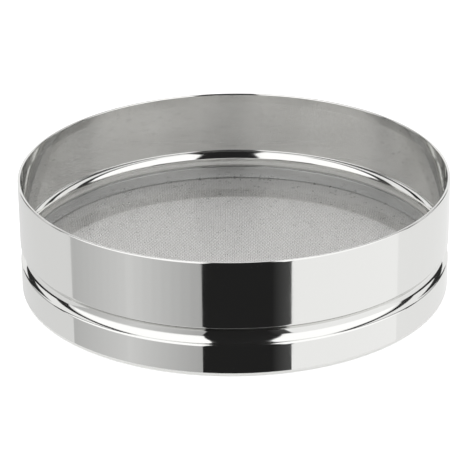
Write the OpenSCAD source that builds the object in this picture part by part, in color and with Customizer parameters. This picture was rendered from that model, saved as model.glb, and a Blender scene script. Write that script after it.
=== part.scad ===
// Drum sieve for flour, purees and pastry work: a deep steel hoop with a wire cloth stretched
// across it near the foot. The hoop is one rolled strip with a folded hem at the rim, a bead
// pressed inwards round the lower wall and a foot turned in at the table. The cloth is pinched
// between two strip rings that fill the wall between the bead and the foot.
// Millimetres, +Z up, origin at the centre of the foot on the table.

/* [Drum] */
// Outside diameter of the drum
drum_d = 300; // [240:5:360]
// Height from the table to the rim
drum_h = 82; // [70:1:110]
// Thickness of the steel strip
sheet_t = 1.0; // [0.8:0.1:1.2]
// Depth of the hem that is folded down inside the rim
hem_h = 7.6; // [5:0.2:12]
// Space left between the two layers of the hem
hem_gap = 0.2; // [0.1:0.1:0.6]

/* [Bead] */
// Height of the middle of the bead above the table
bead_z = 29; // [26:0.5:36]
// Height of the groove's mouth on the outside wall
bead_h = 12.8; // [10:0.2:15]
// How far the bead is pressed in
bead_depth = 4.3; // [3:0.1:5]
// Radius of the groove's two outer shoulders
shoulder_r = 1.8; // [1.4:0.1:2.2]

/* [Foot] */
// Width of the foot that is turned in under the rings
foot_w = 6; // [5:0.5:12]
// Outside radius of the bend between the wall and the foot
foot_bend_r = 1.6; // [1.3:0.1:2.2]

/* [Rings] */
// Thickness of the two strip rings
ring_t = 1.5; // [1.2:0.1:2.5]
// Space between the rings and the drum wall
ring_fit = 0.05; // [0.02:0.01:0.1]
// Space between the tension ring and the bend of the bead above it
ring_drop = 1.2; // [0.5:0.1:2]

/* [Wire cloth] */
// Height of the middle of the cloth above the table
cloth_z = 13.4; // [9:0.2:16]
// Thickness of a drawn wire
wire_d = 0.8; // [0.6:0.1:1]
// Spacing of the drawn wires, of which each stands for thirteen of the real cloth
wire_pitch = 16.5; // [16.5:0.5:22]
// Drawn sides of a wire
wire_sides = 6; // [6:2:8]

/* [Hidden] */
$fn = 180;

// Degrees between two points along a bend of the strip
bend_step = 7.5;
// Space between two wires where they cross
cross_gap = 0.04;
// How far the wires reach in under the rings
wire_bite = 1.0;

drum_r = drum_d / 2;
wall_r = drum_r - sheet_t;
ring_or = wall_r - ring_fit;
ring_ir = ring_or - ring_t;

// The bead is an S of two tangent bends on each side of its crest: both turn through bead_turn,
// and their radii add up to what spans half the mouth and the whole depth
bead_turn = 2 * atan(2 * bead_depth / bead_h);
bead_radii = bead_h / 2 / sin(bead_turn);
shoulder_cr = shoulder_r - sheet_t / 2;
crest_cr = bead_radii - shoulder_cr;
bead_low = bead_z - bead_h / 2;
bead_high = bead_z + bead_h / 2;

hem_cr = (sheet_t + hem_gap) / 2;
foot_cr = foot_bend_r - sheet_t / 2;

// The cloth is two wires thick, and the rings close on both its faces
wire_rise = (wire_d + cross_gap) / 2;
cloth_half = wire_rise + wire_d / 2;
cloth_r = ring_ir + wire_bite;
wires_each_side = floor((ring_ir - wire_d) / wire_pitch);

// A strip is bent by steps of [straight length, bend radius, bend angle], radii taken at the
// middle of the strip. Each sample along it is [point, heading].
drum_steps = [
    [foot_w - sheet_t / 2 - foot_cr, foot_cr, 90],
    [bead_low - sheet_t / 2 - foot_cr, shoulder_cr, bead_turn],
    [0, crest_cr, -2 * bead_turn],
    [0, shoulder_cr, bead_turn],
    [drum_h - sheet_t / 2 - hem_cr - bead_high, hem_cr, 180],
    [hem_h - sheet_t / 2 - hem_cr, 0, 0]
];

function side_of(heading) = [-sin(heading), cos(heading)];

// Samples round one bend that starts at point p
function bend(p, heading, radius, angle) =
    let (
        turn = sign(angle),
        count = ceil(abs(angle) / bend_step),
        centre = p + turn * radius * side_of(heading)
    )
    [for (k = [1:count])
        let (h = heading + angle * k / count)
        [centre - turn * radius * side_of(h), h]];

// Samples along the rest of a strip, from step i on
function fed(steps, p, heading, i = 0) =
    i == len(steps) ? [] :
    let (
        s = steps[i],
        q = p + s[0] * [cos(heading), sin(heading)],
        round = bend(q, heading, s[1], s[2]),
        end = len(round) > 0 ? round[len(round) - 1][0] : q
    )
    concat(s[0] > 0 ? [[q, heading]] : [], round, fed(steps, end, heading + s[2], i + 1));

// The outline of a bent strip of thickness t: up one face and back down the other
module bent_strip(steps, start, heading, t) {
    path = concat([[start, heading]], fed(steps, start, heading));
    last = len(path) - 1;
    polygon(concat(
        [for (k = [0:last]) path[k][0] - t / 2 * side_of(path[k][1])],
        [for (k = [last:-1:0]) path[k][0] + t / 2 * side_of(path[k][1])]
    ));
}

// A strip ring standing on edge, from z0 to z1, with its upper edge rounded over
module strip_ring(z0, z1, edge_r) {
    rotate_extrude()
        union() {
            translate([ring_ir, z0]) square([ring_t, z1 - z0 - edge_r]);
            translate([ring_ir + edge_r, z0]) square([ring_t - 2 * edge_r, z1 - z0]);
            for (r = [ring_ir + edge_r, ring_or - edge_r])
                translate([r, z1 - edge_r]) circle(edge_r, $fn = 32);
        }
}

// Which wire is on top where warp wire i crosses weft wire j: plain weave, turn and turn about
function lay(i, j) = (i + j) % 2 == 0 ? 1 : -1;

// Places along wire i where it crosses another, and its two ends under the rings
function stations(i) =
    let (
        reach = sqrt(cloth_r * cloth_r - pow(i * wire_pitch, 2)),
        n = floor(reach / wire_pitch)
    )
    concat([-reach], [for (j = [-n:n]) j * wire_pitch], [reach]);

// One crimped wire of the cloth: a six-sided section carried along its crossings. An end
// takes the height of the crossing that it is nearest to, so that it bears on a ring.
module crimped_wire(i, side) {
    along = stations(i);
    last = len(along) - 1;
    corner_r = wire_d / 2 / cos(180 / wire_sides);
    points = [for (y = along, k = [0:wire_sides - 1])
        let (
            a = 360 * k / wire_sides,
            z = cloth_z + side * wire_rise * lay(i, round(y / wire_pitch))
        )
        [i * wire_pitch + corner_r * cos(a), y, z + corner_r * sin(a)]];
    walls = [for (s = [0:last - 1], k = [0:wire_sides - 1], half = [0, 1])
        let (
            a = s * wire_sides + k,
            b = s * wire_sides + (k + 1) % wire_sides
        )
        half == 0 ? [a, b, b + wire_sides] : [a, b + wire_sides, a + wire_sides]];
    start = [for (k = [wire_sides - 1:-1:0]) k];
    finish = [for (k = [0:wire_sides - 1]) last * wire_sides + k];
    polyhedron(points, concat(walls, [start, finish]), convexity = 4);
}

module drum_hoop() {
    color("gainsboro")
        rotate_extrude()
            bent_strip(drum_steps, [drum_r - foot_w, sheet_t / 2], 0, sheet_t);
}

module tension_ring() {
    color("silver")
        strip_ring(cloth_z + cloth_half, bead_low - ring_drop, 0.5);
}

module support_ring() {
    color("darkgray")
        rotate_extrude()
            translate([ring_ir, sheet_t])
                square([ring_t, cloth_z - cloth_half - sheet_t]);
}

module warp_wires() {
    color("lightslategray")
        for (i = [-wires_each_side:wires_each_side])
            crimped_wire(i, 1);
}

module weft_wires() {
    color("slategray")
        rotate([0, 0, 90])
            for (i = [-wires_each_side:wires_each_side])
                crimped_wire(i, -1);
}

// How many gaps the drawn cloth has inside the rings
gaps = len([for (i = [-wires_each_side - 1:wires_each_side], j = [-wires_each_side - 1:wires_each_side])
    let (
        x = min(abs(i), abs(i + 1)) * wire_pitch,
        y = min(abs(j), abs(j + 1)) * wire_pitch
    )
    if (norm([x, y]) < ring_ir) 1]);
echo(gaps = gaps, wires = 2 * (2 * wires_each_side + 1));

drum_hoop();
tension_ring();
support_ring();
warp_wires();
weft_wires();
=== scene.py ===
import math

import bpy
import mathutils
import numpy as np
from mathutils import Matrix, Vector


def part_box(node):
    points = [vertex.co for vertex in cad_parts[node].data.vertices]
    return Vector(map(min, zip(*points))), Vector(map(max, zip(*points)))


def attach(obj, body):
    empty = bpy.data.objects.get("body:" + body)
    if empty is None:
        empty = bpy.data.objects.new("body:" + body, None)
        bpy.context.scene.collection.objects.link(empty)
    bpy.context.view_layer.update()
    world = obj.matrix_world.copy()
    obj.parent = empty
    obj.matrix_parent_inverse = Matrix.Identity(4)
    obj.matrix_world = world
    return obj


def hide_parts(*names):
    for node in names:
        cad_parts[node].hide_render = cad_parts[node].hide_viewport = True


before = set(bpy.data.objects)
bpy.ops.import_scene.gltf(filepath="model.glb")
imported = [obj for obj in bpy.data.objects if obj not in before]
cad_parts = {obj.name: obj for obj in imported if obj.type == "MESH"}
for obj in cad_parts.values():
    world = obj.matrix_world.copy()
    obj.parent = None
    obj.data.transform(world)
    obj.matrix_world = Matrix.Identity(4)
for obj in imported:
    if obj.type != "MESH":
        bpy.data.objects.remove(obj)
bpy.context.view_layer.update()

# %% [markdown]
# # A drum sieve in polished steel
# A tamis is a hoop of steel strip with a wire cloth stretched across it near the foot. Nearly all
# of its look comes from two things: a mirror that bends round the hoop, and a cloth so fine that
# its wires only just show. The construction model gives the sizes. This file makes the same
# pieces again with enough points for a clean mirror, and weaves the cloth at its true pitch.

MM = 0.001
low, high = (np.array(corner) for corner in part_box("drum_hoop"))
DRUM_R = round(float(high[0] - low[0]) / 2 / MM, 1) * MM
DRUM_H = float(high[2])
CLOTH_Z = float(np.array(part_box("warp_wires"))[:, 2].mean())
print(f"drum {2 * DRUM_R / MM:.1f} mm across, {DRUM_H / MM:.1f} mm high, cloth at {CLOTH_Z / MM:.2f} mm")

# %% [markdown]
# ## Meshes from whole arrays
# A turned shape needs only its outline, and a wire needs only the line that it follows. Both give
# a grid of points, so one helper turns any grid into a mesh: a point's number is its row times
# the row length plus its column, and a face joins four neighbours.

# %% Grid faces and mesh objects
def grid_faces(rows, columns, close_rows, close_columns):
    """Four-cornered faces of a grid of points: corner (r, c) is point r * columns + c, and a
    closed direction wraps back to its first row or column."""
    r = np.arange(rows if close_rows else rows - 1)
    c = np.arange(columns if close_columns else columns - 1)
    r, c = (a.ravel() for a in np.meshgrid(r, c, indexing="ij"))
    r2, c2 = (r + 1) % rows, (c + 1) % columns
    return np.stack([r * columns + c, r2 * columns + c, r2 * columns + c2, r * columns + c2], axis=1)


def make_piece(name, points, faces, material, slot, *nodes):
    """A smooth-shaded mesh object from arrays, riding on the body and standing for its nodes."""
    mesh = bpy.data.meshes.new(name)
    mesh.vertices.add(len(points))
    mesh.vertices.foreach_set("co", points.astype(np.float32).ravel())
    mesh.loops.add(faces.size)
    mesh.loops.foreach_set("vertex_index", faces.astype(np.int32).ravel())
    mesh.polygons.add(len(faces))
    mesh.polygons.foreach_set("loop_start", np.arange(0, faces.size, 4, dtype=np.int32))
    mesh.polygons.foreach_set("use_smooth", np.ones(len(faces), dtype=bool))
    mesh.update(calc_edges=True)
    mesh.materials.append(material)
    piece = bpy.data.objects.new(name, mesh)
    bpy.context.scene.collection.objects.link(piece)
    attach(piece, "root")
    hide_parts(*nodes)
    print(f"{name}: {len(faces)} faces")
    return piece

# %% [markdown]
# ## Nodes and colours
# Every finish below is built from shader nodes. One function adds a node with its settings and
# links, and one turns the colours, written as sRGB hex values, into the linear values that the
# shader works in.

# %% Material helpers
def linear(hex_colour):
    """Linear red, green, blue and alpha of an sRGB hex colour: the standard sRGB curve undone."""
    parts = [int(hex_colour[k:k + 2], 16) / 255 for k in (1, 3, 5)]
    return [p / 12.92 if p <= 0.04045 else ((p + 0.055) / 1.055) ** 2.4 for p in parts] + [1.0]


def add_node(tree, kind, inputs=None, **settings):
    """One node: settings are its properties, and inputs maps a socket to a value or an output."""
    node = tree.nodes.new(kind)
    for key, value in settings.items():
        setattr(node, key, value)
    for key, value in (inputs or {}).items():
        if isinstance(value, bpy.types.NodeSocket):
            tree.links.new(value, node.inputs[key])
        else:
            node.inputs[key].default_value = value
    return node


def new_material(name):
    """An empty node material, its tree and its output node."""
    material = bpy.data.materials.new(name)
    material.use_nodes = True
    material.node_tree.nodes.clear()
    return material, material.node_tree, add_node(material.node_tree, "ShaderNodeOutputMaterial")

# %% [markdown]
# ## Mirror-polished stainless strip
# The strip is cold rolled, then polished on a wheel while the drum turns. What is left is a
# mirror with faint lines running round it and a slightly uneven depth of polish. The lines are
# noise drawn out round the drum: the pattern reads radius and height only, at about 0.4 mm.
# Broad, weak noise changes the roughness, as wiping and washing do.

# %% The polished steel material
def polished_steel(name, colour, roughness, spread, line_mm, line_depth_mm):
    """Metal whose roughness wanders by spread, with polishing lines line_mm apart round Z."""
    material, tree, out = new_material(name)
    place = add_node(tree, "ShaderNodeTexCoord").outputs["Object"]
    parts = add_node(tree, "ShaderNodeSeparateXYZ", {"Vector": place})
    around = add_node(tree, "ShaderNodeVectorMath", {0: place, 1: (1.0, 1.0, 0.0)}, operation="MULTIPLY")
    radius = add_node(tree, "ShaderNodeVectorMath", {0: around.outputs[0]}, operation="LENGTH")
    lined = add_node(tree, "ShaderNodeCombineXYZ", {
        "X": radius.outputs["Value"], "Z": parts.outputs["Z"]})
    lines = add_node(tree, "ShaderNodeTexNoise", {
        "Vector": lined.outputs[0], "Scale": 1 / (line_mm * MM), "Detail": 2.0})
    cloudy = add_node(tree, "ShaderNodeTexNoise", {
        "Vector": place, "Scale": 1 / (25 * MM), "Detail": 3.0})
    rough = add_node(tree, "ShaderNodeMapRange", {
        "Value": cloudy.outputs["Fac"], "From Min": 0.3, "From Max": 0.7,
        "To Min": roughness - spread, "To Max": roughness + spread})
    bump = add_node(tree, "ShaderNodeBump", {
        "Height": lines.outputs["Fac"], "Distance": line_depth_mm * MM, "Strength": 1.0})
    steel = add_node(tree, "ShaderNodeBsdfPrincipled", {
        "Base Color": linear(colour), "Metallic": 1.0,
        "Roughness": rough.outputs["Result"], "Normal": bump.outputs["Normal"]})
    tree.links.new(steel.outputs[0], out.inputs["Surface"])
    return material


polished = polished_steel("mirror_polished_stainless_strip", "#e4e4e2", 0.07, 0.02, 0.4, 0.0004)
bright = polished_steel("bright_rolled_stainless_strip", "#d6d7d7", 0.2, 0.04, 0.5, 0.001)
print("polished strip and bright rolled strip")

# %% [markdown]
# ## Drawn stainless wire
# Wire is pulled through a die, so it is bright along its length but grey with draw marks. It is
# too thin for a pattern to show on one wire, so the variation is between wires and along them:
# noise of a few millimetres moves the colour and the roughness a little.

# %% The wire material
def drawn_wire(name):
    """Grey metal whose colour and roughness follow noise of about 4 mm."""
    material, tree, out = new_material(name)
    place = add_node(tree, "ShaderNodeTexCoord").outputs["Object"]
    noise = add_node(tree, "ShaderNodeTexNoise", {
        "Vector": place, "Scale": 1 / (4 * MM), "Detail": 2.0})
    tone = add_node(tree, "ShaderNodeMix", {
        0: noise.outputs["Fac"], 6: linear("#d6d5d3"), 7: linear("#e8e7e5")}, data_type="RGBA")
    rough = add_node(tree, "ShaderNodeMapRange", {
        "Value": noise.outputs["Fac"], "To Min": 0.22, "To Max": 0.38})
    steel = add_node(tree, "ShaderNodeBsdfPrincipled", {
        "Base Color": tone.outputs[2], "Metallic": 1.0, "Roughness": rough.outputs["Result"]})
    tree.links.new(steel.outputs[0], out.inputs["Surface"])
    return material


wire_steel = drawn_wire("drawn_stainless_wire")

# %% [markdown]
# ## The drum hoop
# The real hoop is a flat strip fed through rolls: straight lengths and round bends, all of one
# thickness. The outline is made the same way. A list gives each straight length with the bend
# that follows it, and the two faces of the strip lie half a thickness either side of that line.
# Each straight gets two more points near its ends, so that smooth shading keeps it flat. The hem
# springs open a little after folding, so it stops 1.5 degrees short of flat on the wall.

# %% Bending a strip and turning it round the axis
SHEET = 1.0 * MM
KEEP_FLAT = 0.25 * MM
AROUND = 720


def bent_strip(steps, start, heading, thick, bend_step):
    """Closed outline (radius, height) of a strip: walk the steps [length, radius, turn in
    degrees], and put a point half the thickness to each side of every sample."""
    p, h = np.array(start, dtype=float), math.radians(heading)
    line, angle = [p[None, :]], [np.array([h])]
    for length, radius, turn in steps:
        ahead = np.array([math.cos(h), math.sin(h)])
        near_ends = [KEEP_FLAT, length - KEEP_FLAT] if length > 3 * KEEP_FLAT else []
        stops = np.array(near_ends + [length] if length > 0 else [])
        line.append(p + stops[:, None] * ahead)
        angle.append(np.full(len(stops), h))
        p = p + length * ahead     # a new array each time, since line holds the old one
        if turn:
            count = math.ceil(abs(turn) / bend_step)
            hs = h + math.radians(turn) * np.arange(1, count + 1) / count
            side = math.copysign(radius, turn)
            centre = p + side * np.array([-math.sin(h), math.cos(h)])
            bend = centre - side * np.stack([-np.sin(hs), np.cos(hs)], axis=1)
            line.append(bend)
            angle.append(hs)
            p, h = bend[-1], float(hs[-1])
    line, angle = np.concatenate(line), np.concatenate(angle)
    out = thick / 2 * np.stack([-np.sin(angle), np.cos(angle)], axis=1)
    return np.concatenate([line - out, (line + out)[::-1]])


def turned(outline, count):
    """Points and faces of an outline (radius, height) carried round Z in count steps."""
    a = 2 * np.pi * np.arange(count) / count
    r, z = outline[:, 0], outline[:, 1]
    points = np.stack([np.outer(np.cos(a), r), np.outer(np.sin(a), r), np.tile(z, (count, 1))], axis=2)
    return points.reshape(-1, 3), grid_faces(count, len(outline), True, True)


BEND_STEP = 10
BEAD_Z, BEAD_H, BEAD_DEPTH = 28.8 * MM, 14.6 * MM, 4.5 * MM
FOOT_W, FOOT_BEND = 8.5 * MM, 1.1 * MM
HEM_H, HEM_BEND = 7.6 * MM, 0.6 * MM
SHOULDER = 1.3 * MM
HEM_TURN = 178.5
bead_turn = 2 * math.atan(2 * BEAD_DEPTH / BEAD_H)
crest = BEAD_H / 2 / math.sin(bead_turn) - SHOULDER
bead_turn = math.degrees(bead_turn)
drum_steps = [
    [FOOT_W - SHEET / 2 - FOOT_BEND, FOOT_BEND, 90],
    [BEAD_Z - BEAD_H / 2 - SHEET / 2 - FOOT_BEND, SHOULDER, bead_turn],
    [0, crest, -2 * bead_turn],
    [0, SHOULDER, bead_turn],
    [DRUM_H - SHEET / 2 - HEM_BEND - BEAD_Z - BEAD_H / 2, HEM_BEND, HEM_TURN],
    [HEM_H - SHEET / 2 - HEM_BEND, 0, 0],
]
outline = bent_strip(drum_steps, (DRUM_R - FOOT_W, SHEET / 2), 0, SHEET, BEND_STEP)
make_piece("drum_hoop_polished", *turned(outline, AROUND), polished, "drum", "drum_hoop")

# %% [markdown]
# ## The two rings
# Below the bead a strip ring bears on the cloth, and another stands under it on the foot. They
# are strips on edge, so their outline is a box with small round corners. The upper one is pressed
# up under the bead, so its outer top corner is cut away where the bead curves out over it.

# %% Rings above and below the cloth
WIRE_D = 0.42 * MM
PITCH = 1.27 * MM
CROSS_GAP = 0.02 * MM
WIRE_RISE = (WIRE_D + CROSS_GAP) / 2
RING_T = 1.5 * MM
RING_FIT = 0.05 * MM
RING_OUT = DRUM_R - SHEET - RING_FIT
RING_TOP = BEAD_Z - BEAD_H / 2 + 1.1 * MM
RING_CUT = 1.2 * MM
RING_EDGE = 0.3 * MM
EDGE_STEPS = 6


def strip_on_edge(r0, r1, z0, z1, cut, edge, steps):
    """Closed outline of a strip: a box whose outer top corner is lower by cut, with its corners
    rounded by quarter circles."""
    a = np.linspace(0, np.pi / 2, steps)
    corners = [(r1 - edge, z0 + edge, -np.pi / 2), (r1 - edge, z1 - cut - edge, 0),
               (r0 + edge, z1 - edge, np.pi / 2), (r0 + edge, z0 + edge, np.pi)]
    return np.concatenate([
        np.stack([r + edge * np.cos(t + a), z + edge * np.sin(t + a)], axis=1) for r, z, t in corners])


cloth_half = WIRE_RISE + WIRE_D / 2
for name, z0, z1, cut in (("tension_ring", CLOTH_Z + cloth_half, RING_TOP, RING_CUT),
                          ("support_ring", SHEET, CLOTH_Z - cloth_half, 0)):
    ring = strip_on_edge(RING_OUT - RING_T, RING_OUT, z0, z1, cut, RING_EDGE, EDGE_STEPS)
    make_piece(name + "_bright", *turned(ring, AROUND), bright, "rings", name)

# %% [markdown]
# ## The wire cloth
# Plain weave: each wire passes over one and under the next, and its neighbour does the opposite.
# The real cloth has about twenty wires to the inch, so the pitch is 1.27 mm. Each wire is a tube
# of four sides with one ring of points at each crossing, which is enough at this size. Warp and
# weft are each cut into two halves, which keeps every mesh light enough to store.

# %% Weaving the cloth
END_SPACE = 0.4 * MM
CLOTH_R = RING_OUT - END_SPACE
SIDES = 4


def woven(first, last, side, across):
    """Points and faces of wires first to last. Wire i lies at i pitches and has a ring at every
    crossing, at height side * rise * (+1 or -1 as i + j is even or odd)."""
    points, faces, total = [], [], 0
    a = 2 * np.pi * np.arange(SIDES) / SIDES
    for i in range(first, last + 1):
        reach = math.sqrt(CLOTH_R ** 2 - (i * PITCH) ** 2)
        n = int((reach - 0.2 * PITCH) / PITCH)
        along = np.concatenate([[-reach], np.arange(-n, n + 1) * PITCH, [reach]])
        over = 1 - 2 * ((i + np.rint(along / PITCH).astype(int)) % 2)
        z = CLOTH_Z + side * WIRE_RISE * over
        ring = np.stack([
            i * PITCH + WIRE_D / 2 * np.cos(a)[None, :] + 0 * along[:, None],
            along[:, None] + 0 * a[None, :],
            z[:, None] + WIRE_D / 2 * np.sin(a)[None, :]], axis=2).reshape(-1, 3)
        rows = len(along)
        tube = grid_faces(rows, SIDES, False, True)[:, ::-1]
        start = np.arange(SIDES)[None, :]
        end = (rows - 1) * SIDES + np.arange(SIDES)[None, ::-1]
        points.append(ring)
        faces.append(np.concatenate([tube, start, end]) + total)
        total += len(ring)
    points, faces = np.concatenate(points), np.concatenate(faces)
    if across:
        points = points[:, [1, 0, 2]] * np.array([-1, 1, 1])
    return points, faces


count = int(CLOTH_R / PITCH - 0.5)
for name, first, last, side, across, node in (
        ("warp_wires_left", -count, -1, 1, False, "warp_wires"),
        ("warp_wires_right", 0, count, 1, False, "warp_wires"),
        ("weft_wires_near", -count, -1, -1, True, "weft_wires"),
        ("weft_wires_far", 0, count, -1, True, "weft_wires")):
    make_piece(name, *woven(first, last, side, across), wire_steel, "wire", node)
print(f"{2 * count + 1} wires each way, {PITCH / MM:.2f} mm apart")

# %% [markdown]
# ## Floor, tent and cards
# A mirror shows the room, so the room is part of the finish. The drum stands in a white tent that
# is open to the camera: a black gap that runs from the floor, up past the lens and overhead. The
# tent has a dark slit on each side too. Every card below glows and shows in reflections only. The
# outer wall leans neither way, so it mirrors only the floor. The floor itself is evenly white, so
# its tones in the mirror are a painted reflection on glowing cards, given by sector: how far round
# the drum from the camera side a sector shows, and its painted tone at both edges, 1 being white.

# %% Stage
def reflected_card(name, rows, tones):
    """A curved card that only a reflection can show: a grid of points (row, column, xyz), and a
    tone for each column, kept as an attribute that its glow reads."""
    mesh = bpy.data.meshes.new(name)
    mesh.from_pydata(rows.reshape(-1, 3).tolist(), [], grid_faces(*rows.shape[:2], False, False).tolist())
    tone = mesh.attributes.new("tone", "FLOAT", "POINT")
    tone.data.foreach_set("value", np.tile(tones, len(rows)).astype(np.float32))
    mesh.materials.append(lit_card)
    card = bpy.data.objects.new(name, mesh)
    bpy.context.scene.collection.objects.link(card)
    for ray in ("camera", "diffuse", "transmission", "volume_scatter", "shadow"):
        setattr(card, "visible_" + ray, False)


def lit_card_material():
    """A card that gives the light of its own tone attribute and reflects none."""
    material, tree, out = new_material("lit_card")
    tone = add_node(tree, "ShaderNodeAttribute", attribute_name="tone")
    glow = add_node(tree, "ShaderNodeEmission", {"Strength": tone.outputs["Fac"]})
    tree.links.new(glow.outputs[0], out.inputs["Surface"])
    return material


CAMERA_LIFT, MIRROR_LIFT = 0.5, 0.25


def floor_material():
    """White matt floor that the camera sees as pure white. It gives CAMERA_LIFT of its own
    light to camera rays and MIRROR_LIFT to reflected ones, so the foot's shadow still shows."""
    material, tree, out = new_material("white_matt_floor")
    path = add_node(tree, "ShaderNodeLightPath")
    mirrored = add_node(tree, "ShaderNodeMath", {
        0: path.outputs["Is Glossy Ray"], 1: path.outputs["Is Transmission Ray"]}, operation="MAXIMUM")
    faint = add_node(tree, "ShaderNodeMath", {0: mirrored.outputs[0], 1: MIRROR_LIFT}, operation="MULTIPLY")
    lift = add_node(tree, "ShaderNodeMath", {
        0: path.outputs["Is Camera Ray"], 1: CAMERA_LIFT, 2: faint.outputs[0]}, operation="MULTIPLY_ADD")
    matt = add_node(tree, "ShaderNodeBsdfDiffuse", {"Color": linear("#f4f4f4")})
    glow = add_node(tree, "ShaderNodeEmission", {
        "Color": linear("#ffffff"), "Strength": lift.outputs[0]})
    both = add_node(tree, "ShaderNodeAddShader", {0: matt.outputs[0], 1: glow.outputs[0]})
    tree.links.new(both.outputs[0], out.inputs["Surface"])
    return material


def painted_floor_reflection(name, start, stop, tone_start, tone_stop):
    """Painted reflection of the patch of floor that the wall between two places, in degrees round from
    the camera side, mirrors to the camera: a glowing card just above the evenly white floor, seen
    only in the mirror. At p degrees the ray leaves at about 2 p + LEAN sin p degrees."""
    p = np.radians(np.linspace(start, stop, 9))
    way = 2 * p + math.radians(LEAN) * np.sin(p)
    wall = DRUM_R * np.stack([np.sin(p), -np.cos(p), 0 * p], axis=1)
    ahead = np.stack([np.sin(way), -np.cos(way), 0 * p], axis=1)
    above = np.array([0, 0, SECTOR_Z])
    rows = np.stack([wall + reach * ahead + above for reach in (SECTOR_FROM, SECTOR_TO)])
    reflected_card("floor_" + name, rows, np.linspace(tone_start, tone_stop, len(p)))


def tent_panel(name, azimuths, elevations, radius, tone):
    """Part of a sphere round the drum, in degrees from the camera's side and above the floor."""
    a = np.radians(np.linspace(*azimuths, 13))
    e = np.radians(np.linspace(*elevations, 7))
    rows = radius * np.stack([
        np.outer(np.cos(e), np.sin(a)), -np.outer(np.cos(e), np.cos(a)),
        np.outer(np.sin(e), np.ones_like(a))], axis=2)
    reflected_card("tent_" + name, rows, np.full(len(a), tone))


FLOOR = 6.0
floor_mesh = bpy.data.meshes.new("floor")
floor_mesh.from_pydata([(-FLOOR, -FLOOR, 0), (FLOOR, -FLOOR, 0), (FLOOR, FLOOR, 0), (-FLOOR, FLOOR, 0)],
                       [], [(0, 1, 2, 3)])
floor_mesh.materials.append(floor_material())
floor = bpy.data.objects.new("floor", floor_mesh)
bpy.context.scene.collection.objects.link(floor)

lit_card = lit_card_material()
# The camera is near enough to see the side of the drum 6.3 degrees less squarely than the front
LEAN = 6.3
SECTOR_FROM, SECTOR_TO, SECTOR_Z = 4 * MM, 1.1, 0.6 * MM
BLACK, DARK, BRIGHT = 0.018, 0.03, 1.3
TENT_R, SLIT_R = 2.8, 1.5
# Painted reflection of floor light and shade: darker on the left, brighter on the right, black where the
# gap meets the floor
painted_floor_reflection("far_left", -88, -45.7, 0.78, 0.82)
painted_floor_reflection("left_card_edge", -45.7, -28, 0.55, 0.72)
painted_floor_reflection("left_card", -28, -8.1, 0.74, 0.46)
painted_floor_reflection("gap", -8.1, 9.0, BLACK, BLACK)
painted_floor_reflection("edge_of_the_gap", 9.0, 14.1, BLACK, 0.09)
painted_floor_reflection("right_card", 14.1, 45.7, 1.04, 1.06)
painted_floor_reflection("far_right", 45.7, 88, 0.96, 0.90)

# The gap goes past the camera, up and over the drum: left edge, right edge, depth and height
gap_path = [(-0.32, 0.50, -1.2, 0.0), (-0.32, 0.50, -1.2, 1.2),
            (-0.27, 0.42, -0.8, 1.8), (-0.22, 0.34, 0.4, 2.0)]
gap_rows = np.array([[(left, y, z), (right, y, z)] for left, right, y, z in gap_path])
reflected_card("gap_round_the_camera", gap_rows, np.full(2, BLACK))
tent_panel("white_left", (-90, -14), (6, 88), TENT_R, BRIGHT)
tent_panel("white_right", (20, 90), (6, 88), TENT_R, BRIGHT)
for side in (-1, 1):
    tent_panel("slit", (92 * side, 103 * side), (0, 70), SLIT_R, DARK)
    tent_panel("far_slit", (125 * side, 137 * side), (0, 70), SLIT_R, DARK)
    tent_panel("low_slit", (101 * side, 135 * side), (0, 12), SLIT_R - 0.05, DARK)

world = bpy.data.worlds.new("white_tent")
bpy.context.scene.world = world
world.use_nodes = True
world.node_tree.nodes["Background"].inputs["Color"].default_value = linear("#ffffff")
world.node_tree.nodes["Background"].inputs["Strength"].default_value = 1.0
bpy.context.scene.view_settings.view_transform = "Standard"
print("floor, world and cards in place")

# %% [markdown]
# ## The camera
# The photograph was taken from about 25 degrees above the table with a long lens, leaning by
# half a degree. The lens and the distance come from how fast the outline narrows with height.
# RIM_X and RIM_Y are where the middle of the rim falls in the picture, in pixels.

# %% Camera
IMAGE, FOCAL = 470, 2322.7
DISTANCE, ELEVATION, ROLL = 1.6136, math.radians(24.66), math.radians(0.5)
RIM_X, RIM_Y = 233.84, 170.8

back = np.array([0, -math.cos(ELEVATION), math.sin(ELEVATION)])
right = np.array([1.0, 0, 0])
up = np.cross(back, right)
cam_right = math.cos(ROLL) * right - math.sin(ROLL) * up
cam_up = math.sin(ROLL) * right + math.cos(ROLL) * up
over = (RIM_X - IMAGE / 2) * DISTANCE / FOCAL
above = (IMAGE / 2 - RIM_Y) * DISTANCE / FOCAL
place = np.array([0, 0, DRUM_H]) + DISTANCE * back - over * cam_right - above * cam_up
lens = bpy.data.cameras.new("camera")
lens.sensor_width = 36.0
lens.lens = 36.0 * FOCAL / IMAGE
lens.clip_end = 20.0
camera = bpy.data.objects.new("camera", lens)
bpy.context.scene.collection.objects.link(camera)
turn = np.stack([cam_right, cam_up, back], axis=1)
matrix = np.eye(4)
matrix[:3, :3], matrix[:3, 3] = turn, place
camera.matrix_world = mathutils.Matrix(matrix.tolist())
bpy.context.scene.camera = camera
print("camera at", np.round(place, 3), "lens", round(lens.lens, 1), "mm")
